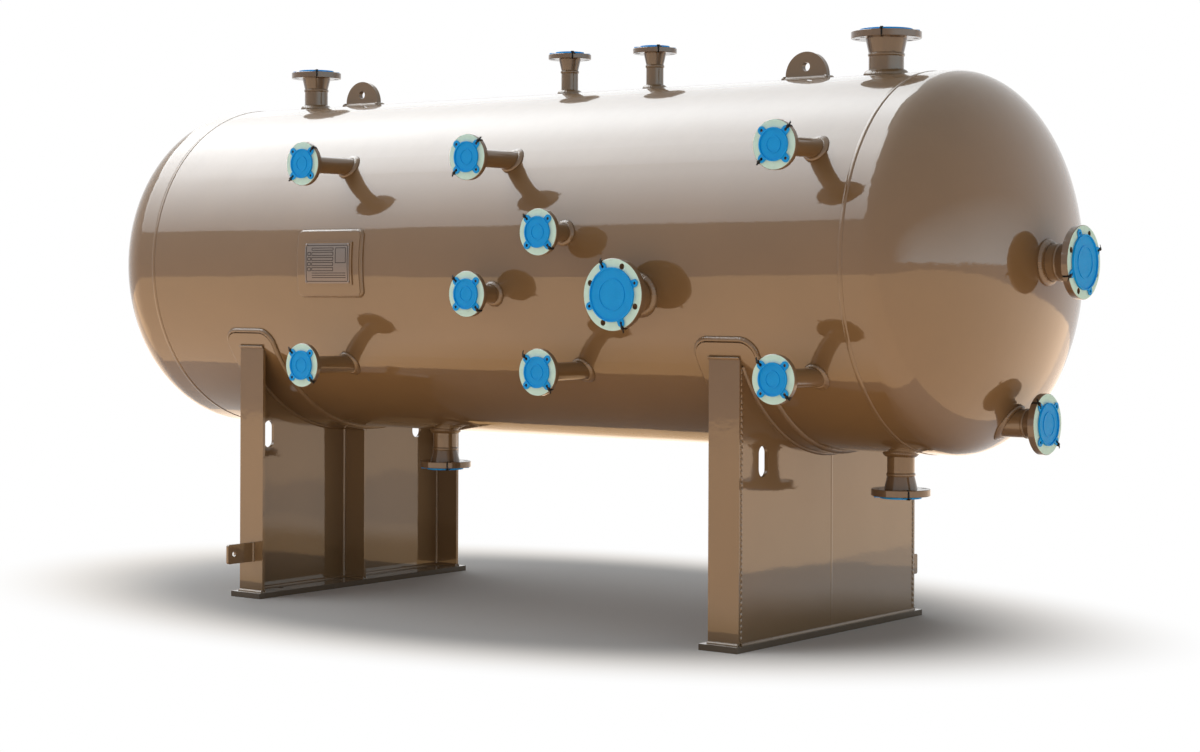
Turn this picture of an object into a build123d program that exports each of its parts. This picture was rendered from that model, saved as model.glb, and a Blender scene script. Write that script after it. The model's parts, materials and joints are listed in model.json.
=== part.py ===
from build123d import *
import math
import os

# Separator vessel: a horizontal drum on two saddles, with flanged nozzles under transit covers.
# Millimetres. X runs along the drum, -Y is the nozzle side and +Z is up.
# The origin is on the floor, midway between the four anchor bolts.

# Drum: a rolled shell between two ellipsoidal heads, twice as wide as they are deep
shell_od = 1219.2
wall = 12.0
shell_length = 3000.0
axis_height = 1215.0
head_straight = 75.0
head_depth = shell_od / 4

# Class 150 weld-neck flanges with a raised face
raised_face = 1.6
rim_chamfer = 1.5
weld_land = 6.0
two_inch = {
    "pipe": 60.3, "bore": 52.5, "disc": 152.4, "thick": 19.1, "face": 92.1,
    "hub": 77.8, "length": 63.5, "circle": 120.7, "hole": 19.05, "holes": 4,
}
three_inch = {
    "pipe": 88.9, "bore": 77.9, "disc": 190.5, "thick": 23.9, "face": 127.0,
    "hub": 108.0, "length": 69.9, "circle": 152.4, "hole": 19.05, "holes": 4,
}
four_inch = {
    "pipe": 114.3, "bore": 102.3, "disc": 228.6, "thick": 23.9, "face": 157.2,
    "hub": 134.9, "length": 76.2, "circle": 190.5, "hole": 19.05, "holes": 8,
}

# How far each side's flange faces stand out from the drum
front_stand_out = 130.4
vertical_stand_out = 140.4
centre_stand_out = 120.2
lower_stand_out = 0.2

# Nozzle rows on the front and the end, as heights above or below the drum's axis
upper_row = 345.0
mid_high_row = 95.0
mid_low_row = -105.0
lower_row = -355.0
head_lower_row = -500.0

# Each nozzle: flange, place along the drum, height from the axis.
# The place is counted from the left seam, or back from the right seam when it is negative.
front_nozzles = {
    "front_upper_left": (two_inch, 900.0, upper_row),
    "front_lower_left": (two_inch, 900.0, lower_row),
    "front_upper_middle": (two_inch, 1650.0, upper_row),
    "front_middle_low": (two_inch, 1650.0, mid_low_row),
    "front_middle_high": (two_inch, 1950.0, mid_high_row),
    "front_lower_middle": (two_inch, 1950.0, lower_row),
    "front_inlet": (four_inch, 2250.0, mid_low_row),
    "front_upper_right": (two_inch, -150.0, upper_row),
    "front_lower_right": (two_inch, -150.0, lower_row),
}
top_nozzles = {
    "top_left": (three_inch, 250.0),
    "top_middle": (two_inch, 1500.0),
    "top_middle_right": (two_inch, 1875.0),
    "top_outlet": (four_inch, -200.0),
}
bottom_nozzles = {
    "bottom_left": (three_inch, 920.0),
    "bottom_right": (three_inch, -140.0),
}
# Each head nozzle: flange, stand-out beyond the head's crown, height from the axis
head_nozzles = {
    "head_centre": (four_inch, centre_stand_out, 0.0),
    "head_lower": (three_inch, lower_stand_out, head_lower_row),
}

# Transit covers: a rimmed disc with four ears
cover_plate = 3.0
cover_rim = 6.5
cover_ridge = 4.75
rim_width = 4.0
ear_radius = 12.5
ear_hole = 10.0

# Saddles
saddle_inset = 400.0
plate = 12.0
rib_width = 104.0
saddle_depth = 1090.0
base_margin = 30.0
base_width = 145.0
base_thick = 20.0
base_overhang = 14.0
anchor_spacing = 800.0
anchor_hole = 26.0
slot_height = 100.0
slot_width = 50.0
slot_spacing = 820.0
slot_drop = 628.0
wear_thick = 12.0
wear_width = 220.0
wear_overhang = 58.0
wear_angle = 132.0
wear_corner = 50.0

# Lifting lugs
lug_inset = 500.0
lug_width = 160.0
lug_height = 92.0
lug_thick = 20.0
lug_hole = 30.0
lug_hole_height = 42.0

# Earthing lugs
earth_reach = 125.0
earth_height = 70.0
earth_thick = 10.0
earth_level = 165.0
earth_corner = 8.0
earth_hole = 18.0
earth_hole_edge = 29.0

# Nameplate and its pad, lengths along the drum and heights round its curve
pad_place = 910.0
pad_length = 295.0
pad_height = 220.0
pad_thick = 12.0
pad_corner = 15.0
panel_length = 232.0
panel_height = 152.0
panel_thick = 4.0
panel_corner = 5.0
name_length = 213.0
name_height = 141.0
name_thick = 1.5

# Worked out from the sizes above
shell_r = shell_od / 2
inner_r = shell_r - wall
wear_r = shell_r + wear_thick
seam_x = shell_length / 2
crown_x = seam_x + head_straight + head_depth
front_reach = shell_r + front_stand_out
vertical_reach = shell_r + vertical_stand_out
web_x = seam_x - saddle_inset
rib_x = web_x - plate - rib_width / 2
half_depth = saddle_depth / 2


def along(place):
    """X of a place counted from the left seam, or back from the right one when negative."""
    return place - seam_x if place >= 0 else place + seam_x


def turned(outline):
    """A solid of revolution about Z, from a face drawn in radius and height."""
    return revolve(Plane.XZ * outline, Axis.Z)


def drum_cylinder(radius, length):
    """A solid cylinder on the drum's axis."""
    return Pos(0, 0, axis_height) * Rot(0, 90, 0) * Cylinder(radius, length)


def domed(radius, depth):
    """A solid dome with its straight part: a quarter ellipse turned about X, opening at X = 0."""
    arc = EllipticalCenterArc((head_straight, 0), depth, radius, start_angle=0, arc_size=90)
    outline = make_face(
        arc + Line((head_straight, radius), (0, radius))
        + Line((0, radius), (0, 0)) + Line((0, 0), (head_straight + depth, 0))
    )
    return revolve(outline, Axis.X)


def at_seam(side, dome):
    """Carry a dome to the left (-1) or right (1) end of the shell."""
    turn = Rot(0, 0, 0 if side > 0 else 180)
    return Pos(side * seam_x, 0, axis_height) * turn * dome


def hanging(radius, start, end):
    """A cylinder on local Z, from height start down to height end."""
    return Pos(0, 0, (start + end) / 2) * Cylinder(radius, start - end)


def flange(f):
    """Weld-neck flange: raised face at local Z = 0, and a hub tapering to the pipe behind it."""
    back = -f["thick"]
    rim = f["disc"] / 2
    outline = make_face(Polyline(
        (f["bore"] / 2, 0),
        (f["face"] / 2, 0),
        (f["face"] / 2, -raised_face),
        (rim - rim_chamfer, -raised_face),
        (rim, -raised_face - rim_chamfer),
        (rim, back + rim_chamfer),
        (rim - rim_chamfer, back),
        (f["hub"] / 2, back),
        (f["pipe"] / 2, weld_land - f["length"]),
        (f["pipe"] / 2, -f["length"]),
        (f["bore"] / 2, -f["length"]),
        close=True,
    ))
    # The bolt holes straddle the centre lines
    ring = PolarLocations(f["circle"] / 2, f["holes"], 180 / f["holes"])
    return turned(outline) - ring * hanging(f["hole"] / 2, f["thick"], -2 * f["thick"])


def cover(f):
    """Transit cover: a rimmed disc on the raised face, with four ears over bolt holes."""
    edge = (f["circle"] - f["hole"]) / 2
    bore = f["bore"] / 2
    disc = turned(make_face(Polyline(
        (0, 0),
        (edge, 0),
        (edge, cover_rim),
        (edge - rim_width, cover_rim),
        (edge - rim_width, cover_plate),
        (bore, cover_plate),
        (bore, cover_ridge),
        (bore - rim_width, cover_ridge),
        (bore - rim_width, cover_plate),
        (0, cover_plate),
        close=True,
    )))
    ring = PolarLocations(f["circle"] / 2, 4, 180 / f["holes"])
    ears = ring * hanging(ear_radius, cover_plate, 0)
    root = Pos(-ear_radius / 2, 0, cover_plate / 2) * Box(ear_radius, 2 * ear_radius, cover_plate)
    eyes = ring * hanging(ear_hole / 2, 2 * cover_plate, -cover_plate)
    return disc + ears + ring * root - eyes


def rolled(radius, thick, length, angle, corner):
    """A plate rolled round the drum, centred below it, with rounded corners."""
    half = math.radians(angle / 2)
    far = 2 * (radius + thick)
    wedge = make_face(Polyline(
        (0, 0),
        (-far * math.sin(half), -far * math.cos(half)),
        (0, -2 * far / math.cos(half)),
        (far * math.sin(half), -far * math.cos(half)),
        close=True,
    ))
    sector = (Circle(radius + thick) - Circle(radius)) & wedge
    sheet = extrude(Plane.YZ * sector, length / 2, both=True)
    square = sheet.edges().filter_by(GeomType.LINE)
    ends = square.filter_by(lambda edge: abs(edge.length - thick) < 0.01)
    return fillet(ends, corner)


def front_plate(radius, thick, length, height, corner):
    """A rolled plate turned round to the drum's front, with its height taken along the curve."""
    sheet = rolled(radius, thick, length, math.degrees(height / radius), corner)
    return Pos(along(pad_place), 0, axis_height) * Rot(-90, 0, 0) * sheet


# Where each flange face lies: local Z points away from the drum
faces = {}
for name, (f, place, height) in front_nozzles.items():
    origin = (along(place), -front_reach, axis_height + height)
    faces[name] = (f, Plane(origin, x_dir=(1, 0, 0), z_dir=(0, -1, 0)), front_reach)
for name, (f, place) in top_nozzles.items():
    origin = (along(place), 0, axis_height + vertical_reach)
    faces[name] = (f, Plane(origin, x_dir=(1, 0, 0), z_dir=(0, 0, 1)), vertical_reach)
for name, (f, place) in bottom_nozzles.items():
    origin = (along(place), 0, axis_height - vertical_reach)
    faces[name] = (f, Plane(origin, x_dir=(1, 0, 0), z_dir=(0, 0, -1)), vertical_reach)
for name, (f, stand_out, height) in head_nozzles.items():
    reach = crown_x + stand_out
    origin = (reach, 0, axis_height + height)
    faces[name] = (f, Plane(origin, x_dir=(0, 1, 0), z_dir=(1, 0, 0)), reach - seam_x)

# The drum, and the space inside it that every pipe is trimmed to
inside = drum_cylinder(inner_r, shell_length)
inside += at_seam(-1, domed(inner_r, head_depth - wall))
inside += at_seam(1, domed(inner_r, head_depth - wall))
shell = drum_cylinder(shell_r, shell_length) - drum_cylinder(inner_r, shell_length)
dome = domed(shell_r, head_depth) - domed(inner_r, head_depth - wall)
left_head = at_seam(-1, dome)
right_head = at_seam(1, dome)

# Nozzles: each pipe fills its hole in the wall and ends flush with the inside
parts = {}
sides = {"front": front_nozzles, "top": top_nozzles, "bottom": bottom_nozzles, "head": head_nozzles}
for side, table in sides.items():
    necks = []
    covers = []
    for name in table:
        f, plane, depth = faces[name]
        pipe = plane * hanging(f["pipe"] / 2, -f["length"], -depth)
        flow = plane * hanging(f["bore"] / 2, -f["length"], -depth)
        if side == "head":
            right_head -= pipe
        else:
            shell -= pipe
        necks.append(pipe - flow - inside)
        covers.append(plane * cover(f))
        parts[name + "_flange"] = plane * flange(f)
    parts[side + "_necks"] = Compound(necks)
    parts[side + "_covers"] = Compound(covers)
parts["shell"] = shell
parts["left_head"] = left_head
parts["right_head"] = right_head

# Saddles: the web is outermost, and the three ribs stand inward from it
cradle = drum_cylinder(wear_r, 2 * shell_length)
stand = axis_height - base_thick
for side, hand in ((-1, "left"), (1, "right")):
    base_x = side * (web_x + base_overhang - base_width / 2)
    base_length = saddle_depth + 2 * base_margin
    base = Pos(base_x, 0, base_thick / 2) * Box(base_width, base_length, base_thick)
    for y in (-anchor_spacing / 2, anchor_spacing / 2):
        base -= Pos(side * rib_x, y, base_thick / 2) * Cylinder(anchor_hole / 2, 2 * base_thick)
    parts[hand + "_base_plate"] = base

    middle_z = base_thick + stand / 2
    web = Pos(side * (web_x - plate / 2), 0, middle_z) * Box(plate, saddle_depth - 2 * plate, stand)
    web -= cradle
    opening = extrude(Plane.YZ * SlotOverall(slot_height, slot_width, rotation=90), 2 * plate, both=True)
    for y in (-slot_spacing / 2, slot_spacing / 2):
        web -= Pos(side * web_x, y, axis_height - slot_drop) * opening
    parts[hand + "_web"] = web

    # The end ribs cover the web's edges, so they are wider than the middle rib by its thickness
    end_x = rib_x + plate / 2
    end_y = half_depth - plate / 2
    for rib, x, y, width in (
        ("front", end_x, -end_y, rib_width + plate),
        ("middle", rib_x, 0, rib_width),
        ("rear", end_x, end_y, rib_width + plate),
    ):
        bar = Pos(side * x, y, middle_z) * Box(width, plate, stand)
        parts[f"{hand}_{rib}_rib"] = bar - cradle

    wear_x = side * (web_x + wear_overhang - wear_width / 2)
    wear = rolled(shell_r, wear_thick, wear_width, wear_angle, wear_corner)
    parts[hand + "_wear_plate"] = Pos(wear_x, 0, axis_height) * wear

    # Lifting lug, seated on the drum's crown
    rise = lug_height - lug_width / 2
    profile = Pos(0, rise) * Circle(lug_width / 2)
    profile += Pos(0, (rise - wall) / 2) * Rectangle(lug_width, rise + wall)
    profile -= Pos(0, lug_hole_height) * Circle(lug_hole / 2)
    lug = extrude(Plane.XZ * profile, lug_thick / 2, both=True)
    lug = Pos(side * (seam_x - lug_inset), 0, axis_height + shell_r) * lug
    parts[hand + "_lifting_lug"] = lug - drum_cylinder(shell_r, shell_length)

    # Earthing lug, on the left saddle's front rib or the right saddle's rear rib
    tab = Rectangle(earth_reach, earth_height)
    tab = fillet(tab.vertices().group_by(Axis.X)[-1], earth_corner)
    tab -= Pos(earth_reach / 2 - earth_hole_edge, 0) * Circle(earth_hole / 2)
    tab = Rot(0, 0, side * 90) * extrude(Plane.XZ * tab, earth_thick / 2, both=True)
    lug_y = side * (half_depth + earth_reach / 2)
    parts[hand + "_earthing_lug"] = Pos(side * rib_x, lug_y, earth_level) * tab

# Nameplate on the raised panel of its pad
panel_r = shell_r + pad_thick
name_r = panel_r + panel_thick
pad = front_plate(shell_r, pad_thick, pad_length, pad_height, pad_corner)
panel = front_plate(panel_r, panel_thick, panel_length, panel_height, panel_corner)
parts["nameplate_bracket"] = pad + panel
parts["nameplate"] = front_plate(name_r, name_thick, name_length, name_height, panel_corner)

os.makedirs("parts", exist_ok=True)
for name, shape in parts.items():
    export_step(shape, f"parts/{name}.step")
print(len(parts), "nodes")
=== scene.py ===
# %% [markdown]
# # A separator vessel
# A separator is a long steel drum that lets gas, oil and water part from each other. This one lies on two
# saddles and is on its way to a plant: every flange wears a blue plastic cover, tied on for the journey.
# The steel pieces come from the CAD model, which is loaded as a fixed frame. Blender adds what a
# draughtsman leaves out: the weld beads, the cable ties, the nameplate's fields, the paint and the light.
# Everything is in metres.

# %% Load the frame
import bpy
import json
import math
import random
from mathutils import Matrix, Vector


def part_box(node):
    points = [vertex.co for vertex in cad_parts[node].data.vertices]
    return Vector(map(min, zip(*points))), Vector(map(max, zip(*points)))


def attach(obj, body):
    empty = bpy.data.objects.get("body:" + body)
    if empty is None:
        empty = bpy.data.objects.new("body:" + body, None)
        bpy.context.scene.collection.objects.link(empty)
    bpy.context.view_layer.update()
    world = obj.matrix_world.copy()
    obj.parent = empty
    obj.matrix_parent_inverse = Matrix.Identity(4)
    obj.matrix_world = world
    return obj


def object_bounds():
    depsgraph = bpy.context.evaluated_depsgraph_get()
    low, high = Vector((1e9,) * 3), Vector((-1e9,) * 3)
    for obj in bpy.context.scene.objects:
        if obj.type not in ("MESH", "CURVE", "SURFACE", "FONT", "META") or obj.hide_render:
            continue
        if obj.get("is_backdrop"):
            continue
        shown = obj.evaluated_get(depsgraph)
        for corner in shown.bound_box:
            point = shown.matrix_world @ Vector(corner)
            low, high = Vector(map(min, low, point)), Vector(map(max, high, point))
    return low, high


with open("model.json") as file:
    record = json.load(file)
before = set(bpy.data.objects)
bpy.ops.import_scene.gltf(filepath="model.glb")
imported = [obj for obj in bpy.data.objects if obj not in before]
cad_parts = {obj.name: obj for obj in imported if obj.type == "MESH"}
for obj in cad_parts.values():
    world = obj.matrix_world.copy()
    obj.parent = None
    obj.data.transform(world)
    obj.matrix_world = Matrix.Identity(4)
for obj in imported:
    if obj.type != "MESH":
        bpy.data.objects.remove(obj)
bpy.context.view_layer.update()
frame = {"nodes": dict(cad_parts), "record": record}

# %% [markdown]
# ## Sizes that the welds follow
# A bead lies where two pieces meet, so it needs the same sizes as they have. The drum's come from the
# boxes of its own nodes, and the nozzles' from their flanges, so a bead can't drift away from the steel
# that it joins.

# %% Drum sizes
shell_low, shell_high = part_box("shell")
drum_radius = (shell_high.z - shell_low.z) / 2
axis_height = (shell_high.z + shell_low.z) / 2
seam = shell_high.x
head_end = -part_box("left_head")[0].x
head_straight = 0.075
head_depth = head_end - seam - head_straight
print("drum radius", round(drum_radius, 4), "seam at", seam, "head depth", round(head_depth, 4))

# %% [markdown]
# Each nozzle is known by its flange. The flange's box gives the centre and the width, and the width tells
# the pipe size, because standard flanges come in fixed sizes. Two directions span the flange's face, and
# a third points out.

# %% Nozzles
pipe_radius = {0.1524: 0.03015, 0.1905: 0.04445, 0.2286: 0.05715}
hub_length = {0.1524: 0.0635, 0.1905: 0.0699, 0.2286: 0.0762}
flange_thickness = {0.1524: 0.0191, 0.1905: 0.0239, 0.2286: 0.0239}
bolt_circle = {0.1524: 0.06035, 0.1905: 0.0762, 0.2286: 0.09525}
X, Y, Z = Vector((1, 0, 0)), Vector((0, 1, 0)), Vector((0, 0, 1))
facings = {"front": (X, Z, -Y), "top": (X, Y, Z), "bottom": (X, -Y, -Z), "head": (Y, Z, X)}
nozzles = {}
for name in frame["nodes"]:
    if not name.endswith("_flange"):
        continue
    low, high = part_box(name)
    across, up, out = facings[name.split("_")[0]]
    width = round(abs((high - low).dot(across)), 4)
    centre = (low + high) / 2
    face = centre + out * (abs((high - low).dot(out)) / 2)
    nozzles[name.removesuffix("_flange")] = (width, face, across, up, out)
print(len(nozzles), "nozzles of", sorted({n[0] for n in nozzles.values()}))

# %% [markdown]
# ## How a weld bead is drawn
# A real bead is laid drop by drop, so it is a ridge with fine ripples across it. It could be a curve with
# a round bevel, but then it would have no ripples and would sink into both plates. A mesh skinned over
# many small cross-sections follows any seam, so each weld here is a row of sections, closed into a ring
# or capped at its ends.

# %% Bead helpers
ripple_pitch = 0.006  # real ripples are 2 to 3 mm apart: drawn coarser, so that they show
steps_per_ripple = 3
# Parts of a fillet's leg: how full its face is, how far its toes tuck in, and how deep its root reaches
fillet_swell, fillet_tuck, fillet_depth = 0.55, 0.12, 0.2
crown_sink, crown_depth = 0.0004, 0.002  # how far a crown's edges and its root lie below the surface
hand = random.Random(48)


def ripple(i):
    """How much fuller the bead is at its i-th section, with a welder's small unevenness."""
    wave = 0.5 + 0.5 * math.cos(2 * math.pi * i / steps_per_ripple)
    return 0.93 + 0.10 * wave + hand.uniform(-0.03, 0.03)


def corner_section(root, along_a, along_b, leg):
    """A fillet weld's section, in the corner of two plates that leave root along a and along b."""
    points = []
    for k in range(6):
        t = k / 5
        swell = fillet_swell * t * (1 - t)
        points.append(root + along_a * leg * (1 - t + swell) + along_b * leg * (t + swell))
    points[0] -= along_b * leg * fillet_tuck
    points[-1] -= along_a * leg * fillet_tuck
    return points + [root - (along_a + along_b) * leg * fillet_depth]


def crown_section(middle, across, out, width, height):
    """A butt weld's section: a low ridge over the line where two edges meet."""
    points = []
    for k in range(7):
        turn = math.pi * k / 6
        rise = height * math.sin(turn) - crown_sink
        points.append(middle + across * (width / 2) * math.cos(turn) + out * rise)
    return points + [middle - out * crown_depth]


def skin(name, beads):
    """One mesh from many beads. Each is its row of sections, and whether the row closes on itself."""
    points, faces = [], []
    for rows, closed in beads:
        start, around = len(points), len(rows[0])
        points += [p for row in rows for p in row]
        for i in range(len(rows) if closed else len(rows) - 1):
            j = (i + 1) % len(rows)
            for k in range(around):
                m = (k + 1) % around
                corners = (i * around + k, i * around + m, j * around + m, j * around + k)
                faces.append([start + n for n in corners])
        if not closed:
            last = start + (len(rows) - 1) * around
            faces.append([start + k for k in reversed(range(around))])
            faces.append([last + k for k in range(around)])
    mesh = bpy.data.meshes.new(name)
    mesh.from_pydata(points, [], faces)
    mesh.polygons.foreach_set("use_smooth", [True] * len(mesh.polygons))
    piece = bpy.data.objects.new(name, mesh)
    bpy.context.scene.collection.objects.link(piece)
    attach(piece, "root")
    print(name, len(beads), "beads,", len(mesh.polygons), "faces")
    return piece


def sections_for(length):
    """How many sections a bead of this length takes."""
    return max(8, round(length / ripple_pitch) * steps_per_ripple)


# %% [markdown]
# ## Nozzle root welds
# Where a pipe enters the drum, the joint isn't a flat circle. It is a saddle curve that dips where the
# drum curves away, most of all on the nozzles set high and low. The drum's surface can be written down
# exactly, as a circle for the shell and as an ellipse for the head, so the curve is worked out from it
# and no Boolean is needed.

# %% Nozzle root welds
root_leg = {0.1524: 0.014, 0.1905: 0.015, 0.2286: 0.017}
slope_step = 0.002  # how far past the pipe the drum's slope is measured


def drum_surface(name, spot):
    """The point of the drum that lies below spot, looking against the nozzle's direction."""
    side = name.split("_")[0]
    y, z = spot.y, spot.z - axis_height
    if side == "front":
        return Vector((spot.x, -math.sqrt(drum_radius ** 2 - z * z), spot.z))
    if side == "head":
        rise = head_depth * math.sqrt(1 - (y * y + z * z) / drum_radius ** 2)
        return Vector((seam + head_straight + rise, y, spot.z))
    height = math.sqrt(drum_radius ** 2 - y * y) * (1 if side == "top" else -1)
    return Vector((spot.x, y, axis_height + height))


def root_bead(name):
    """The fillet bead where a nozzle's pipe enters the drum."""
    width, face, across, up, out = nozzles[name]
    radius, leg = pipe_radius[width], root_leg[width]
    rows = []
    count = sections_for(2 * math.pi * radius)
    for i in range(count):
        turn = 2 * math.pi * i / count
        outward = across * math.cos(turn) + up * math.sin(turn)
        root = drum_surface(name, face + outward * radius)
        away = (drum_surface(name, face + outward * (radius + slope_step)) - root).normalized()
        rows.append(corner_section(root, away, out, leg * ripple(i)))
    return rows, True


root_welds = skin("nozzle_root_welds", [root_bead(name) for name in nozzles])

# %% [markdown]
# ## Hub welds and drum seams
# These are butt welds: two edges meet end to end and the bead stands a little proud of both. One ring
# joins each flange's hub to its pipe, and a wide one joins each head to the shell. A crown section turned
# about the pipe's or the drum's axis gives both.

# %% Hub welds and drum seams
hub_bead_width, hub_bead_height = 0.012, 0.0032
seam_bead_width, seam_bead_height = 0.016, 0.0022


def ring_bead(centre, across, up, out, radius, width, height):
    """A butt weld all the way round a pipe or the drum."""
    rows = []
    count = sections_for(2 * math.pi * radius)
    for i in range(count):
        turn = 2 * math.pi * i / count
        outward = across * math.cos(turn) + up * math.sin(turn)
        fullness = ripple(i)
        rows.append(crown_section(centre + outward * radius, out, outward, width, height * fullness))
    return rows, True


hub_beads = []
for width, face, across, up, out in nozzles.values():
    joint = face - out * hub_length[width]
    radius = pipe_radius[width]
    hub_beads.append(ring_bead(joint, across, up, out, radius, hub_bead_width, hub_bead_height))
hub_welds = skin("hub_welds", hub_beads)

seam_beads = []
for side in (-1, 1):
    centre = Vector((side * seam, 0, axis_height))
    seam_beads.append(ring_bead(centre, Y, Z, X, drum_radius, seam_bead_width, seam_bead_height))
seam_welds = skin("drum_seam_welds", seam_beads)

# %% [markdown]
# ## Wear plate welds
# A saddle never touches the drum itself. It stands under a rolled wear plate, welded to the drum all the
# way round its edge. Unrolled, that edge is a rectangle with rounded corners, so the path is drawn flat
# and then wrapped round the drum: the second coordinate turns into an angle.

# %% Wear plate welds
wear_thickness = 0.012
wear_corner = 0.050
wear_leg = 0.0118  # a little less than the plate's thickness, so its edge still shows


def rounded_outline(half_x, half_y, corner, step):
    """Points round a rounded rectangle, each with the direction that leaves it square to the edge."""
    spots = []
    quarters = ((half_x, half_y, 0), (-half_x, half_y, 90), (-half_x, -half_y, 180), (half_x, -half_y, 270))
    for cx, cy, start in quarters:
        mx, my = cx - math.copysign(corner, cx), cy - math.copysign(corner, cy)
        for k in range(13):
            a = math.radians(start + 90 * k / 12)
            spots.append((mx + corner * math.cos(a), my + corner * math.sin(a), math.cos(a), math.sin(a)))
    full = []
    for (x0, y0, u0, v0), (x1, y1, u1, v1) in zip(spots, spots[1:] + spots[:1]):
        parts = max(1, round(math.hypot(x1 - x0, y1 - y0) / step))
        for k in range(parts):
            t = k / parts
            full.append((x0 + (x1 - x0) * t, y0 + (y1 - y0) * t, u0 + (u1 - u0) * t, v0 + (v1 - v0) * t))
    return full


def wrapped_bead(middle_x, middle_angle, half_x, half_arc, corner, leg):
    """A fillet bead round a plate rolled on the drum: angles run from straight down towards -Y."""
    rows = []
    spots = rounded_outline(half_x, half_arc, corner, ripple_pitch / steps_per_ripple)
    for i, (x, arc, u, v) in enumerate(spots):
        angle = middle_angle + arc / drum_radius
        radial = Vector((0, -math.sin(angle), -math.cos(angle)))
        around = Vector((0, -math.cos(angle), math.sin(angle)))
        root = Vector((middle_x + x, 0, axis_height)) + radial * drum_radius
        rows.append(corner_section(root, (X * u + around * v).normalized(), radial, leg * ripple(i)))
    return rows, True


wear_beads = []
wear_radius = drum_radius + wear_thickness
for hand_name in ("left", "right"):
    low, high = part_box(hand_name + "_wear_plate")
    half_angle = math.acos((axis_height - high.z) / wear_radius)
    print(hand_name, "wear plate spans", round(2 * math.degrees(half_angle), 1), "degrees")
    middle_x, half_x = (low.x + high.x) / 2, (high.x - low.x) / 2
    half_arc = half_angle * drum_radius
    wear_beads.append(wrapped_bead(middle_x, 0, half_x, half_arc, wear_corner, wear_leg))
wear_welds = skin("wear_plate_welds", wear_beads)

# %% [markdown]
# ## Saddle welds
# The saddle is a web with three ribs, standing on a base plate. Each joint is a fillet weld on both sides
# of the plate. Straight joints need only two ends and the directions of the two plates; the joints under
# the wear plate follow its arc.

# %% Straight and curved fillet beads
def straight_bead(start, end, along_a, along_b, leg):
    """A fillet bead between two points, in the corner of two plates that leave it along a and along b."""
    count = sections_for((end - start).length)
    rows = []
    for i in range(count + 1):
        root = start.lerp(end, i / count)
        rows.append(corner_section(root, along_a, along_b, leg * ripple(i)))
    return rows, False


def arc_bead(x, reach, outward_x, leg):
    """A bead along the wear plate's underside, between -reach and reach in Y, on one face of the web."""
    span = math.asin(reach / wear_radius)
    count = sections_for(2 * span * wear_radius)
    rows = []
    for i in range(count + 1):
        angle = -span + 2 * span * i / count
        radial = Vector((0, math.sin(angle), -math.cos(angle)))
        root = Vector((x, 0, axis_height)) + radial * wear_radius
        rows.append(corner_section(root, radial, X * outward_x, leg * ripple(i)))
    return rows, False


# %% [markdown]
# One loop welds both saddles. Where an outer rib covers the web's edge, a run of short beads closes the
# corner. They are called stitches here, and each swells in its middle.

# %% Saddle welds
plate_leg = 0.008
rib_leg = 0.009  # where a rib meets the web
arc_margin = 0.004  # the curved beads stop this far short of the web's edges
stitch_count, stitch_sections = 46, 10
stitch_start, stitch_pitch, stitch_length = 0.012, 0.0185, 0.0165
stitch_width, stitch_height, stitch_swell = 0.011, 0.0016, 0.0022
print_width, print_height = 0.012, 0.0011
saddle_beads = []
base_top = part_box("left_base_plate")[1].z
for hand_name, side in (("left", -1), ("right", 1)):
    web_low, web_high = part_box(hand_name + "_web")
    outer, inner = (web_high.x, web_low.x) if side > 0 else (web_low.x, web_high.x)
    reach = web_high.y
    # Web to base plate and to wear plate, on both faces
    for x, away in ((outer, side), (inner, -side)):
        start, end = Vector((x, -reach, base_top)), Vector((x, reach, base_top))
        saddle_beads.append(straight_bead(start, end, X * away, Z, plate_leg))
        saddle_beads.append(arc_bead(x, reach - arc_margin, away, plate_leg))
    for rib in ("front", "middle", "rear"):
        low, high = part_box(f"{hand_name}_{rib}_rib")
        far = low.x if side > 0 else high.x
        near = outer if rib != "middle" else inner
        for y, away in ((low.y, -1), (high.y, 1)):
            top_z = axis_height - math.sqrt(wear_radius ** 2 - y * y)
            # Rib to base plate
            start, end = Vector((far, y, base_top)), Vector((near, y, base_top))
            saddle_beads.append(straight_bead(start, end, Y * away, Z, plate_leg))
            # Rib to the web's inner face, only where the web passes
            if rib == "middle" or abs(y) < abs(low.y + high.y) / 2:
                start, end = Vector((inner, y, base_top)), Vector((inner, y, top_z))
                saddle_beads.append(straight_bead(start, end, Y * away, -X * side, rib_leg))
            # Rib to wear plate
            start, end = Vector((far, y, top_z)), Vector((near, y, top_z))
            saddle_beads.append(straight_bead(start, end, -Z, Y * away, plate_leg))
        if rib != "middle":
            # The rib's end covers the web's edge: a run of short beads closes the outer corner
            y = high.y if rib == "front" else low.y
            for k in range(stitch_count):
                foot = base_top + stitch_start + k * stitch_pitch
                rows = []
                for i in range(stitch_sections):
                    spot = Vector((outer, y, foot + stitch_length * i / (stitch_sections - 1)))
                    swell = math.sin(math.pi * (i + 0.5) / stitch_sections)
                    height = stitch_height + stitch_swell * swell
                    rows.append(crown_section(spot, Y, X * side, stitch_width, height))
                saddle_beads.append((rows, False))
    # The middle rib's welds print through to the web's outer face as a faint upright line
    top = Vector((outer, 0, axis_height - wear_radius))
    count = sections_for(top.z - base_top)
    rows = []
    for i in range(count + 1):
        spot = Vector((outer, 0, base_top)).lerp(top, i / count)
        rows.append(crown_section(spot, Y, X * side, print_width, print_height * ripple(i)))
    saddle_beads.append((rows, False))
saddle_welds = skin("saddle_welds", saddle_beads)

# %% [markdown]
# ## Lug and pad welds
# The lifting lugs carry the whole vessel, so they have the fattest beads, along both faces and round both
# ends. The earthing lugs need only a short one, and the nameplate's pad is sealed all round so that no
# water gets behind it.

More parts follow.
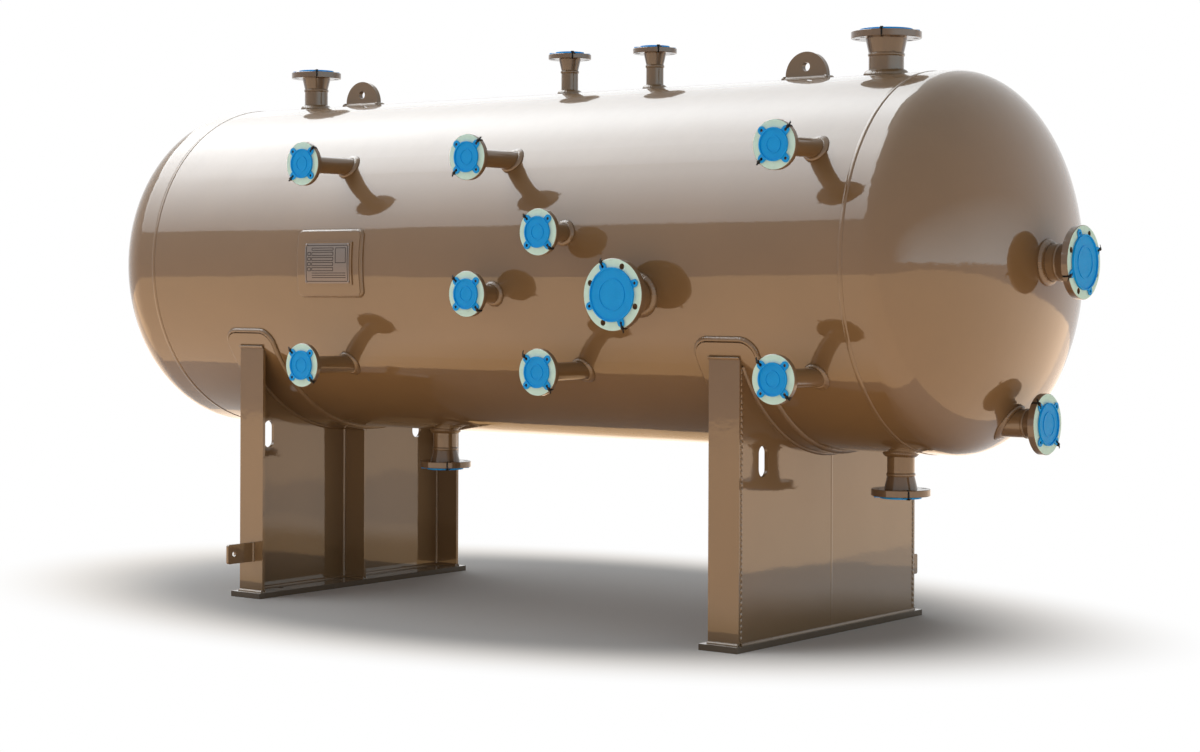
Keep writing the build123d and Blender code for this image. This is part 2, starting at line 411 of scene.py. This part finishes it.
# %% Lug and pad welds
lifting_leg, earthing_leg = 0.012, 0.007
overrun = 0.01  # how far the lifting lugs' end beads run past their corners
lug_beads = []
crown = axis_height + drum_radius
for hand_name, side in (("left", -1), ("right", 1)):
    low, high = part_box(hand_name + "_lifting_lug")
    for y, away in ((low.y, -1), (high.y, 1)):
        start, end = Vector((low.x, y, crown)), Vector((high.x, y, crown))
        lug_beads.append(straight_bead(start, end, Y * away, Z, lifting_leg))
    for x, away in ((low.x, -1), (high.x, 1)):
        start, end = Vector((x, low.y - overrun, crown)), Vector((x, high.y + overrun, crown))
        lug_beads.append(straight_bead(start, end, X * away, Z, lifting_leg))
    low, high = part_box(hand_name + "_earthing_lug")
    plate_y = high.y if side < 0 else low.y
    for x, away in ((low.x, -1), (high.x, 1)):
        start, end = Vector((x, plate_y, low.z)), Vector((x, plate_y, high.z))
        lug_beads.append(straight_bead(start, end, X * away, Y * side, earthing_leg))
lug_welds = skin("lug_welds", lug_beads)

pad_low, pad_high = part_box("nameplate_bracket")
pad_x = (pad_low.x + pad_high.x) / 2
pad_half_x = (pad_high.x - pad_low.x) / 2
pad_half_arc, pad_corner, pad_leg = 0.110, 0.015, 0.011
pad_bead = wrapped_bead(pad_x, math.pi / 2, pad_half_x, pad_half_arc, pad_corner, pad_leg)
pad_weld = skin("nameplate_pad_weld", [pad_bead])

# %% [markdown]
# ## Cable ties
# Two opposite ears of every cover are held by a nylon cable tie. The strap goes through the ear and the
# bolt hole, round the back of the flange and over its rim, and its tail is cut off one or two centimetres
# past the head. Each loop lies in one plane, spanned by the nozzle's direction and the line from its
# centre through the ear, so its path is a short list of places in that plane. Cutting the corners off
# twice turns the path into a bent strap.

# %% Cable ties
tied_ears = {
    "front_upper_left": (45, 225), "front_upper_middle": (45, 225), "front_upper_right": (45, 225),
    "front_middle_high": (135, 315), "front_middle_low": (135, 315), "front_lower_left": (135, 315),
    "front_lower_middle": (135, 315), "front_lower_right": (135, 315), "front_inlet": (112.5, 292.5),
    "head_centre": (22.5, 202.5), "head_lower": (135, 315), "top_left": (315, 135),
    "top_middle": (315, 135), "top_middle_right": (315, 135), "top_outlet": (292.5, 112.5),
    "bottom_left": (45, 225), "bottom_right": (45, 225),
}
strap_width = 0.0052
strap_thickness = 0.0018
tie_stand = 0.0045  # the strap's middle in front of the raised face, clear of the 3 mm ear
tie_behind, tie_over = 0.0016, 0.0014  # and off the flange's back, and off its rim
head_inset, head_sink = 0.003, 0.0006  # the head's middle, inwards of the rim and below the strap
head_half_length, head_half_width, head_half_height = 0.00405, 0.0048, 0.0020
head_corners = ((1, 1), (-1, 1), (-1, -1), (1, -1))


def cut_corners(spots, closed):
    """Replace every corner with two points, a quarter of the way along each of its sides."""
    sides = list(zip(spots, spots[1:] + spots[:1] if closed else spots[1:]))
    cut = [p for a, b in sides for p in (a.lerp(b, 0.25), a.lerp(b, 0.75))]
    return cut if closed else [spots[0]] + cut[1:-1] + [spots[-1]]


def strap(spots, flat, closed):
    """Sections of a flat band whose wide side lies along flat."""
    rows = []
    for i, spot in enumerate(spots):
        ahead = spots[(i + 1) % len(spots)] if closed or i + 1 < len(spots) else spot
        behind = spots[i - 1] if closed or i > 0 else spot
        thick = (ahead - behind).cross(flat).normalized() * strap_thickness / 2
        wide = flat * strap_width / 2
        rows.append([spot + wide + thick, spot - wide + thick, spot - wide - thick, spot + wide - thick])
    return rows, closed


tie_beads = []
for name, angles in tied_ears.items():
    width, face, across, up, out = nozzles[name]
    hole, rim, back = bolt_circle[width], width / 2, flange_thickness[width]
    for angle in angles:
        radial = across * math.cos(math.radians(angle)) + up * math.sin(math.radians(angle))
        flat = out.cross(radial)
        front, behind, over = tie_stand, -back - tie_behind, rim + tie_over
        loop = [(hole, front), (hole, behind), (over, behind), (over, 0.0015), (rim - 0.002, front)]
        spots = [face + radial * r + out * h for r, h in loop]
        for _ in range(2):
            spots = cut_corners(spots, True)
        tie_beads.append(strap(spots, flat, True))
        # The head lies on the front near the rim, and the tail leaves it with a chance bend
        reach = hand.uniform(0.008, 0.018)
        lean = hand.uniform(-0.008, -0.002)
        turn = hand.uniform(-0.010, 0.010)
        knot = face + radial * (rim - head_inset) + out * (tie_stand - head_sink)
        block = []
        for end in (-1, 1):
            middle = knot + radial * (head_half_length * end)
            block.append([
                middle + flat * (a * head_half_width) + out * (b * head_half_height) for a, b in head_corners
            ])
        tie_beads.append((block, False))
        bend = knot + radial * reach * 0.5 + out * lean * 0.2
        tip = knot + radial * reach + out * lean + flat * turn
        tail = cut_corners(cut_corners([knot, bend, tip], False), False)
        tie_beads.append(strap(tail, flat, False))
ties = skin("cable_ties", tie_beads)

# %% [markdown]
# ## Nameplate fields
# A blank nameplate is ruled into empty boxes, ready for any maker. A ruled line could be painted in the
# material, but a real one is etched and filled, with an edge that catches light. Each line is a thin
# strip wrapped round the same curve as the plate.

# %% Nameplate fields
plate_radius = -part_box("nameplate")[0].y
rule_width = 0.0020
rule_height = 0.0003  # how far a line stands out, and how far it reaches into the plate


def on_plate(x, arc, proud):
    """The point at x and arc from the plate's middle, standing proud of its face."""
    turn = arc / plate_radius
    radial = Vector((0, -math.cos(turn), math.sin(turn)))
    return Vector((pad_x + x, 0, axis_height)) + radial * (plate_radius + proud)


def rule(x0, arc0, x1, arc1):
    """A thin filled line on the plate, level or upright."""
    rows = []
    for i in range(9):
        x, arc = x0 + (x1 - x0) * i / 8, arc0 + (arc1 - arc0) * i / 8
        dx, da = (0, rule_width / 2) if abs(x1 - x0) > abs(arc1 - arc0) else (rule_width / 2, 0)
        rows.append([
            on_plate(x - dx, arc - da, rule_height), on_plate(x + dx, arc + da, rule_height),
            on_plate(x + dx, arc + da, -rule_height), on_plate(x - dx, arc - da, -rule_height),
        ])
    return rows, False


def ruled_box(x0, arc0, x1, arc1):
    """Four lines that close a box."""
    level_lines = [rule(x0, arc0, x1, arc0), rule(x0, arc1, x1, arc1)]
    return level_lines + [rule(x0, arc0, x0, arc1), rule(x1, arc0, x1, arc1)]


border_x, border_arc = 0.099, 0.063
column_left, column_right, margin_right = -0.072, 0.030, 0.090
row_height = 0.011
rules = ruled_box(-border_x, -border_arc, border_x, border_arc)
for arc in (0.028, 0.010, -0.008, -0.026):
    rules += ruled_box(column_left, arc, column_right, arc + row_height)
    rules += ruled_box(-0.092, arc, -0.078, arc + row_height)
rules += ruled_box(0.042, 0.002, margin_right, 0.054)
rules += ruled_box(column_left, 0.046, column_right, 0.054)
for arc in (-0.034, -0.042, -0.050):
    rules.append(rule(column_left, arc, margin_right, arc))
fields = skin("nameplate_fields", rules)

# %% [markdown]
# ## Nameplate rivets
# Four dome-headed rivets hold the plate, one in each corner. Rings that shrink as they climb make a dome
# with the same skinning function as the welds.

# %% Nameplate rivets
rivet_radius, rivet_height = 0.0045, 0.0022
rivet_x, rivet_arc = 0.101, 0.0655
rivet_rings, rivet_sides = 6, 20
rivet_beads = []
for x, arc in ((-rivet_x, -rivet_arc), (rivet_x, -rivet_arc), (-rivet_x, rivet_arc), (rivet_x, rivet_arc)):
    rows = []
    for ring in range(rivet_rings):
        slope = math.pi / 2 * ring / (rivet_rings - 1)
        lift = rivet_height * math.sin(slope)
        spread = rivet_radius * max(0.08, math.cos(slope))
        turns = [2 * math.pi * k / rivet_sides for k in range(rivet_sides)]
        rows.append([on_plate(x + spread * math.cos(a), arc + spread * math.sin(a), lift) for a in turns])
    rivet_beads.append((rows, False))
rivets = skin("nameplate_rivets", rivet_beads)

# %% [markdown]
# ## Colours
# Paint colours are picked on a screen, so they are written as hex values in sRGB. Blender's shaders work
# in linear light, and one function takes every colour across.

# %% Colours and a node helper
def linear(hex_colour):
    """A colour written as #RRGGBB, in linear light."""
    parts = [int(hex_colour[k:k + 2], 16) / 255 for k in (1, 3, 5)]
    return [p / 12.92 if p <= 0.04045 else ((p + 0.055) / 1.055) ** 2.4 for p in parts] + [1.0]


def add(owner, kind, inputs={}, **settings):
    """Add one node to a material, world or lamp. An input is a value, or another node's output to link."""
    node = owner.node_tree.nodes.new(kind)
    for key, value in settings.items():
        setattr(node, key, value)
    for key, value in inputs.items():
        if isinstance(value, bpy.types.NodeSocket):
            owner.node_tree.links.new(value, node.inputs[key])
        else:
            node.inputs[key].default_value = value
    return node


def blank(name):
    """A new material with an empty node tree and its output."""
    material = bpy.data.materials.new(name)
    material.use_nodes = True
    material.node_tree.nodes.clear()
    return material, add(material, "ShaderNodeOutputMaterial")


# %% [markdown]
# ## Bronze gloss topcoat
# The vessel wears a two-part polyurethane paint, sprayed on and left to flow out. That gives the eye
# three things: a deep brown body colour, a mirror-like clear film on top, and the soft unevenness of
# sprayed paint on rolled plate. The body is a rough dielectric, and a coat layer with an IOR of 1.5 makes
# the film. The pigment lies in the same resin as the film, so light passes between them with hardly any
# second reflection, and the body's own specular level is low. Orange peel is about 3 mm across in real
# paint. At this distance it would vanish, so it is drawn 20 mm across and very shallow.

# %% Bronze gloss topcoat
peel_size, rolled_size, patch_size = 0.020, 0.350, 0.240


def gloss_topcoat(name, colour, dusty, dust_amount):
    """The brown gloss paint, with as much dust as dust_amount on what looks up."""
    material, output = blank(name)
    place = add(material, "ShaderNodeTexCoord").outputs["Object"]
    peel = add(material, "ShaderNodeTexNoise", {"Vector": place, "Scale": 1 / peel_size, "Detail": 2.0})
    rolled = add(material, "ShaderNodeTexNoise", {"Vector": place, "Scale": 1 / rolled_size, "Detail": 1.0})
    patches = add(material, "ShaderNodeTexNoise", {
        "Vector": place, "Scale": 1 / patch_size, "Detail": 6.0, "Roughness": 0.62,
    }).outputs["Fac"]
    # Dust settles where the surface looks up
    normal = add(material, "ShaderNodeNewGeometry").outputs["Normal"]
    upward = add(material, "ShaderNodeSeparateXYZ", {"Vector": normal}).outputs["Z"]
    settles = add(material, "ShaderNodeMapRange", {
        "Value": upward, "From Min": 0.35, "From Max": 1.0, "To Max": dust_amount,
    })
    speckle = add(material, "ShaderNodeMapRange", {"Value": patches, "From Min": 0.3, "From Max": 0.7})
    dust = add(material, "ShaderNodeMath", {
        0: settles.outputs[0], 1: speckle.outputs[0],
    }, operation="MULTIPLY")
    tone = add(material, "ShaderNodeMapRange", {"Value": patches, "To Min": 0.90, "To Max": 1.10})
    shade = add(material, "ShaderNodeVectorMath", {
        0: linear(colour)[:3], "Scale": tone.outputs[0],
    }, operation="SCALE")
    body = add(material, "ShaderNodeMix", {
        0: dust.outputs[0], 6: shade.outputs[0], 7: linear(dusty),
    }, data_type="RGBA")
    soft = add(material, "ShaderNodeBump", {
        "Height": rolled.outputs["Fac"], "Strength": 1.0, "Distance": 0.0026,
    })
    fine = add(material, "ShaderNodeBump", {
        "Height": peel.outputs["Fac"], "Strength": 1.0, "Distance": 0.00012, "Normal": soft.outputs[0],
    })
    paint = add(material, "ShaderNodeBsdfPrincipled", {
        "Base Color": body.outputs[2], "Roughness": 0.45, "IOR": 1.5, "Normal": fine.outputs[0],
        "Specular IOR Level": 0.08,
        "Coat Weight": 1.0, "Coat Roughness": 0.05, "Coat IOR": 1.5, "Coat Normal": fine.outputs[0],
    })
    material.node_tree.links.new(paint.outputs[0], output.inputs["Surface"])
    return material


topcoat = gloss_topcoat("bronze_gloss_topcoat", "#70573B", "#8E7A63", 0.25)
topcoat_flange = gloss_topcoat("bronze_gloss_on_flanges", "#66503B", "#8E7A63", 0.20)
# The base plates' copy is scuffed and dusty, and its darker colour is also painted shade, because they stand
# in the drum's shadow.
topcoat_scuffed_and_shaded = gloss_topcoat("bronze_gloss_scuffed_and_shaded", "#534638", "#958A7C", 0.95)
print("paint ready")

# %% [markdown]
# ## Epoxy-primed gasket faces
# The front of a flange is left without topcoat so that a gasket can seal on it. It keeps a thin pale
# grey-green primer, dull and slightly uneven. It is a second slot on the flange's own mesh, given to
# every face that looks straight out of the nozzle.

# %% Gasket faces
primer, output = blank("grey_green_primer")
place = add(primer, "ShaderNodeTexCoord").outputs["Object"]
mottle = add(primer, "ShaderNodeTexNoise", {"Vector": place, "Scale": 1 / 0.015, "Detail": 4.0})
tone = add(primer, "ShaderNodeMix", {
    0: mottle.outputs["Fac"], 6: linear("#A9CECC"), 7: linear("#BCDDD9"),
}, data_type="RGBA")
grain = add(primer, "ShaderNodeTexNoise", {"Vector": place, "Scale": 1 / 0.002, "Detail": 2.0})
tooth = add(primer, "ShaderNodeBump", {"Height": grain.outputs["Fac"], "Distance": 0.0001, "Strength": 0.6})
film = add(primer, "ShaderNodeBsdfPrincipled", {
    "Base Color": tone.outputs[2], "Roughness": 0.55, "IOR": 1.5, "Normal": tooth.outputs[0],
})
primer.node_tree.links.new(film.outputs[0], output.inputs["Surface"])

# %% [markdown]
# ## Moulded polyethylene covers
# The transit covers are injection-moulded low-density polyethylene, coloured right through. The plastic
# lets a little light in, so it glows slightly at its thin edges, and its surface is satin rather than
# glossy.

# %% Cover plastic
polyethylene, output = blank("blue_polyethylene")
place = add(polyethylene, "ShaderNodeTexCoord").outputs["Object"]
flow = add(polyethylene, "ShaderNodeTexNoise", {"Vector": place, "Scale": 1 / 0.030, "Detail": 3.0})
tint = add(polyethylene, "ShaderNodeMix", {
    0: flow.outputs["Fac"], 6: linear("#008CDA"), 7: linear("#0096E4"),
}, data_type="RGBA")
satin = add(polyethylene, "ShaderNodeTexNoise", {"Vector": place, "Scale": 1 / 0.0015, "Detail": 1.0})
grain = add(polyethylene, "ShaderNodeBump", {
    "Height": satin.outputs["Fac"], "Distance": 0.00008, "Strength": 0.5,
})
plastic = add(polyethylene, "ShaderNodeBsdfPrincipled", {
    "Base Color": tint.outputs[2], "Roughness": 0.45, "IOR": 1.51, "Normal": grain.outputs[0],
    "Specular IOR Level": 0.15,
    "Subsurface Weight": 0.12, "Subsurface Scale": 0.004, "Subsurface Radius": (0.3, 0.7, 1.0),
})
polyethylene.node_tree.links.new(plastic.outputs[0], output.inputs["Surface"])

# %% [markdown]
# ## Brushed stainless nameplate
# The nameplate is thin stainless sheet, brushed along its length. Stretching a noise 60 times along one
# direction draws the brush marks. They are 1.7 mm wide here, because real ones are too fine to show.

# %% Nameplate steel
stainless, output = blank("brushed_stainless")
place = add(stainless, "ShaderNodeTexCoord").outputs["Object"]
stroke_length, strokes_per_metre = 0.100, 600.0
stretched = add(stainless, "ShaderNodeMapping", {
    "Vector": place, "Scale": (1 / stroke_length, strokes_per_metre, strokes_per_metre),
})
strokes = add(stainless, "ShaderNodeTexNoise", {
    "Vector": stretched.outputs[0], "Scale": 1.0, "Detail": 3.0,
}).outputs["Fac"]
sheen = add(stainless, "ShaderNodeMapRange", {"Value": strokes, "To Min": 0.28, "To Max": 0.46})
brushed = add(stainless, "ShaderNodeBump", {"Height": strokes, "Distance": 0.00005, "Strength": 0.5})
# The base colour is far darker than bare stainless: partly a thin overspray of topcoat, and partly painted
# shade for the dark surroundings that the plate mirrors.
steel = add(stainless, "ShaderNodeBsdfPrincipled", {
    "Base Color": linear("#6C6460"), "Metallic": 1.0,
    "Roughness": sheen.outputs[0], "Normal": brushed.outputs[0],
})
stainless.node_tree.links.new(steel.outputs[0], output.inputs["Surface"])
rivets.data.materials.append(stainless)

# %% [markdown]
# ## Nylon and etching ink
# The ties are black nylon 6/6, moulded smooth and slightly shiny. The nameplate's lines are filled with a
# dull black ink. Both are dark dielectrics, and they differ in how sharp their highlight is. Under so
# bright an arch a full highlight would turn black to grey, so the specular level is low.

# %% Nylon and ink
darks = {}
recipes = (("black_nylon", "#0E0E0E", 0.0020, 0.42), ("etching_ink", "#1C1A18", 0.0008, 0.65))
for name, colour, grain_size, roughness in recipes:
    dark, output = blank(name)
    place = add(dark, "ShaderNodeTexCoord").outputs["Object"]
    grain = add(dark, "ShaderNodeTexNoise", {"Vector": place, "Scale": 1 / grain_size, "Detail": 2.0})
    rough = add(dark, "ShaderNodeMapRange", {
        "Value": grain.outputs["Fac"], "To Min": roughness - 0.08, "To Max": roughness + 0.08,
    })
    solid = add(dark, "ShaderNodeBsdfPrincipled", {
        "Base Color": linear(colour), "Roughness": rough.outputs[0], "IOR": 1.53, "Specular IOR Level": 0.10,
    })
    dark.node_tree.links.new(solid.outputs[0], output.inputs["Surface"])
    darks[name] = dark
ties.data.materials.append(darks["black_nylon"])
fields.data.materials.append(darks["etching_ink"])

# %% [markdown]
# ## Dress the steel
# The record names a finish for every steel piece, so each node takes its material from there. A flange gets
# the primer as well, on the faces that look straight out of its nozzle.

# %% Dress the steel
square_on, face_depth = 0.99, 0.004
faced = 0
finishes = {
    "vessel_paint": topcoat, "flange_paint": topcoat_flange, "base_plate_paint": topcoat_scuffed_and_shaded,
    "cover_plastic": polyethylene, "nameplate_steel": stainless,
}
for entry in frame["record"]["subparts"]:
    part = frame["nodes"][entry["node"]]
    part.material_slots[0].material = finishes[entry["material_slot"]]
for name, (width, face, across, up, out) in nozzles.items():
    part = frame["nodes"][name + "_flange"]
    part.data.materials.append(primer)
    for polygon in part.data.polygons:
        if polygon.normal.dot(out) > square_on and (face - polygon.center).dot(out) < face_depth:
            polygon.material_index = 1
            faced += 1
for piece in (root_welds, hub_welds, seam_welds, wear_welds, saddle_welds, lug_welds, pad_weld):
    piece.data.materials.append(topcoat)
print("dressed", len(frame["nodes"]), "nodes and primed", faced, "faces")

# %% [markdown]
# ## Floor
# The vessel stands in a plain pale studio. Three wide softboxes make an arch over the drum's left half,
# and their lower edge draws the long bright band on the gloss. A glossy cylinder shows each lamp as a
# line along its length, so panels that touch are reflected as one smooth sky. The floor fades to white
# with distance, so no horizon shows. Its centre keeps the real shadow, and an oval there is also painted
# a darker grey: a painted shadow. Beyond the oval the floor has a faint warmth.

# %% Floor
bpy.ops.mesh.primitive_grid_add(x_subdivisions=8, y_subdivisions=8, size=60)
floor = bpy.context.object
floor.name = "studio_floor"
floor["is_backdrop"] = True
pale, output = blank("pale_studio_floor")
place = add(pale, "ShaderNodeTexCoord").outputs["Object"]
# The painted shadow is an oval under the drum, where the floor's colour is a darker grey. A texture
# mapping divides by its half lengths, so its edge is near 1.
painted_shadow_oval = add(pale, "ShaderNodeMapping", {
    "Vector": place, "Location": (-0.21, 0.10, 0.0), "Scale": (1.85, 1.17, 1.0),
}, vector_type="TEXTURE")
far = add(pale, "ShaderNodeVectorMath", {0: painted_shadow_oval.outputs[0]}, operation="LENGTH").outputs["Value"]
fade = add(pale, "ShaderNodeMapRange", {
    "Value": far, "From Min": 0.79, "From Max": 1.38,
}, interpolation_type="SMOOTHSTEP")
# Inside the oval the floor's colour is a darker grey, a painted shadow laid over the real one; outside it is
# warm and pale.
floor_with_painted_shadow = add(pale, "ShaderNodeMix", {
    0: fade.outputs[0], 6: linear("#BFBEBD"), 7: linear("#F0DEC8"),
}, data_type="RGBA")
matte = add(pale, "ShaderNodeBsdfDiffuse", {"Color": floor_with_painted_shadow.outputs[2]})
white = add(pale, "ShaderNodeEmission", {"Color": (1, 1, 1, 1), "Strength": 1.0})
ray = add(pale, "ShaderNodeLightPath").outputs
seen = add(pale, "ShaderNodeMath", {0: ray["Is Camera Ray"], 1: ray["Is Glossy Ray"]}, operation="MAXIMUM")
seen = add(pale, "ShaderNodeMath", {
    0: seen.outputs[0], 1: ray["Is Transmission Ray"],
}, operation="MAXIMUM")
share = add(pale, "ShaderNodeMath", {0: seen.outputs[0], 1: fade.outputs[0]}, operation="MULTIPLY")
blend = add(pale, "ShaderNodeMixShader", {0: share.outputs[0], 1: matte.outputs[0], 2: white.outputs[0]})
pale.node_tree.links.new(blend.outputs[0], output.inputs["Surface"])
floor.data.materials.append(pale)

# %% [markdown]
# ## World
# The room's own light fills the shadows, and it is weaker than the white that the camera and the gloss
# see. So the background is white without lighting the vessel more than the lamps do.

# %% World
fill_strength, backdrop_strength = 0.31, 1.0
world = bpy.data.worlds.new("studio_world")
bpy.context.scene.world = world
world.use_nodes = True
world.node_tree.nodes.clear()
ray = add(world, "ShaderNodeLightPath").outputs
seen = add(world, "ShaderNodeMath", {0: ray["Is Camera Ray"], 1: ray["Is Glossy Ray"]}, operation="MAXIMUM")
seen = add(world, "ShaderNodeMath", {
    0: seen.outputs[0], 1: ray["Is Transmission Ray"],
}, operation="MAXIMUM")
fill = add(world, "ShaderNodeBackground", {"Color": (1, 1, 1, 1), "Strength": fill_strength})
backdrop = add(world, "ShaderNodeBackground", {"Color": (1, 1, 1, 1), "Strength": backdrop_strength})
blend = add(world, "ShaderNodeMixShader", {0: seen.outputs[0], 1: fill.outputs[0], 2: backdrop.outputs[0]})
add(world, "ShaderNodeOutputWorld", {"Surface": blend.outputs[0]})

# %% [markdown]
# ## Softboxes and bounce cards
# Open sky is dim near the horizon and bright overhead, so each panel's strength follows the height of the
# point that shines. Gloss reflects only a few percent, so a reflection needs a brighter lamp than matte
# colour does. Each panel is therefore two lamps in one place. One lights only matte colour, at a level
# that shows a colour as it is written, and the other is seen only in gloss. Gold bounce cards lie on the
# floor on all sides and under the drum, as a photographer lays them out to warm a product from below. A
# last softbox behind the camera fills the shade on the flanged head and the saddles.

# %% Softboxes
arch_radius = 9.0
panel_length, panel_height = 10.5, 7.6
arch_foot, arch_top = 4.6, 10.4  # heights of the arch's lower edge and of its crown
arch_middle = -8.0
cool_white = (0.95, 1.0, 1.03)
# How far out each lamp hangs, its strength at the foot and at the crown, and what the far side keeps of it.
# The matte lamp hangs a little behind the other, because a ray finds only one of two lamps in one plane.
arch_lamps = (("matte", 1.02, 1.0, 2.0, 0.8), ("gloss", 1.0, 1.2, 6.2, 0.32))


def hang(name, size, location, rotation, colour=(1, 1, 1), radiance=1.0):
    """A rectangular lamp. A radiance of 1 is white."""
    lamp = bpy.data.lights.new(name, "AREA")
    lamp.shape = "RECTANGLE"
    lamp.size, lamp.size_y = size
    lamp.color = colour
    lamp.energy = radiance * math.pi * size[0] * size[1]
    holder = bpy.data.objects.new(name, lamp)
    holder.location, holder.rotation_euler = location, rotation
    holder.visible_camera = False
    bpy.context.scene.collection.objects.link(holder)
    print(name, round(lamp.energy), "W")
    return holder


panel_angle = 2 * math.atan(panel_height / 2 / arch_radius)
first_climb = math.radians(47)
for i, name in enumerate(("front", "top", "back")):
    rise = first_climb + i * panel_angle
    for rays, reach, dim, bright, behind in arch_lamps:
        radius = arch_radius * reach
        spot = (arch_middle, -radius * math.cos(rise), axis_height + radius * math.sin(rise))
        size, tilt = (panel_length, panel_height), (math.pi / 2 - rise, 0, 0)
        holder = hang(f"softbox_{name}_{rays}", size, spot, tilt, cool_white)
        holder.visible_diffuse = rays == "matte"
        holder.visible_glossy = rays == "gloss"
        holder.data.use_nodes = True
        holder.data.node_tree.nodes.clear()
        point = add(holder.data, "ShaderNodeNewGeometry").outputs["Position"]
        place = add(holder.data, "ShaderNodeSeparateXYZ", {"Vector": point})
        climb = add(holder.data, "ShaderNodeMapRange", {
            "Value": place.outputs["Z"], "From Min": arch_foot, "From Max": arch_top,
            "To Min": dim, "To Max": bright,
        })
        # The drum's crown is seen at a glancing angle, where gloss is strongest, so the far side is dimmer
        recede = add(holder.data, "ShaderNodeMapRange", {
            "Value": place.outputs["Y"], "From Min": 1.0, "From Max": 7.0, "To Min": 1.0, "To Max": behind,
        }, interpolation_type="SMOOTHSTEP")
        level = add(holder.data, "ShaderNodeMath", {
            0: climb.outputs[0], 1: recede.outputs[0],
        }, operation="MULTIPLY")
        glow = add(holder.data, "ShaderNodeEmission", {"Strength": level.outputs[0]})
        add(holder.data, "ShaderNodeOutputLight", {"Surface": glow.outputs[0]})

# %% [markdown]
# A bounce card is a lamp that lies on the floor and shines up. It comes as a matte and a gloss lamp too, so
# the warmth on the colour and the warmth in the reflection can be set one by one.

# %% Bounce cards
face_up = (math.pi, 0, 0)
gold = (1.0, 0.60, 0.26)
matte_height, gloss_height = 0.02, 0.03  # two lamps in one plane would hide each other
# Each card's size, middle, and radiance as matte colour and as gloss see it
cards = (
    ("front", (12.2, 9.3), (-4.0, -5.35), 0.60, 1.60),
    ("right", (24.0, 20.0), (14.1, 0.0), 0.85, 1.35),
    ("back", (14.0, 8.0), (-4.9, 5.6), 1.0, 0.7),
    ("left", (8.0, 3.0), (-7.0, 0.1), 0.3, 0.8),
    ("under", (7.2, 1.2), (-2.6, 1.0), 0.2, 1.0),
)
for name, size, (x, y), matte_level, gloss_level in cards:
    for rays, z, radiance in (("matte", matte_height, matte_level), ("gloss", gloss_height, gloss_level)):
        holder = hang(f"bounce_card_{name}_{rays}", size, (x, y, z), face_up, gold, radiance)
        holder.visible_diffuse = rays == "matte"
        holder.visible_glossy = rays == "gloss"

# %% [markdown]
# ## Haze and fill
# The flanged head faces away from the arch, so it needs something of its own to reflect: a tall pale
# panel, as bright as haze above a horizon. It thins out upwards and to both sides, so its own edges don't
# show in the paint.

# %% Haze panel and fill softbox
haze_foot, haze_top, haze_half, haze_distance = 1.2, 10.2, 40.0, 25.0
haze_colour, haze_radiance = (0.62, 0.88, 1.0), 2.2
haze_size = (2 * haze_half, haze_top - haze_foot)
haze_spot = (haze_distance, 0.0, (haze_foot + haze_top) / 2)
haze = hang("haze_panel", haze_size, haze_spot, (math.pi / 2, 0, math.pi / 2), haze_colour, haze_radiance)
haze.data.use_nodes = True
haze.data.node_tree.nodes.clear()
point = add(haze.data, "ShaderNodeNewGeometry").outputs["Position"]
place = add(haze.data, "ShaderNodeSeparateXYZ", {"Vector": point})
thin = add(haze.data, "ShaderNodeMapRange", {
    "Value": place.outputs["Z"], "From Min": haze_foot, "From Max": haze_top, "To Min": 1.0, "To Max": 0.0,
})
aside = add(haze.data, "ShaderNodeMath", {0: place.outputs["Y"]}, operation="ABSOLUTE")
edge = add(haze.data, "ShaderNodeMapRange", {
    "Value": aside.outputs[0], "From Min": 8.0, "From Max": haze_half, "To Min": 1.0, "To Max": 0.0,
}, interpolation_type="SMOOTHSTEP")
level = add(haze.data, "ShaderNodeMath", {0: thin.outputs[0], 1: edge.outputs[0]}, operation="MULTIPLY")
glow = add(haze.data, "ShaderNodeEmission", {"Strength": level.outputs[0]})
add(haze.data, "ShaderNodeOutputLight", {"Surface": glow.outputs[0]})

fill_spot, fill_size, fill_radiance = Vector((4.5, -10.0, 1.6)), (8.0, 3.0), 1.9
fill_turn = (Vector((0, 0, axis_height)) - fill_spot).to_track_quat("-Z", "Y").to_euler()
hang("softbox_fill", fill_size, fill_spot, fill_turn, radiance=fill_radiance).visible_glossy = False

# %% [markdown]
# ## Camera
# The camera was fitted to the outlines of the flanges, the drum and the saddles. A lens length in pixels
# turns into millimetres through the sensor's width, and the horizon's row into an upright shift.

# %% Camera
image_width, image_middle = 1200, 376.0
focal_pixels, horizon_row = 2371.8, 291.4
lens = bpy.data.cameras.new("photo_camera")
camera = bpy.data.objects.new("photo_camera", lens)
bpy.context.scene.collection.objects.link(camera)
bpy.context.scene.camera = camera
camera.location = (5.2139, -6.6665, 1.1203)
camera.rotation_euler = (math.radians(90), math.radians(-0.225), math.radians(37.279))
lens.sensor_width = 36.0
lens.lens = lens.sensor_width * focal_pixels / image_width
lens.shift_y = (horizon_row - image_middle) / image_width
print("lens", round(lens.lens, 2), "mm")

# %% [markdown]
# ## Measure the size
# The box of the vessel, with all that Blender adds, is measured again. The standard view transform
# shows colours as they are written.

# %% Render settings and sizes
bpy.context.scene.view_settings.view_transform = "Standard"
low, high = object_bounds()
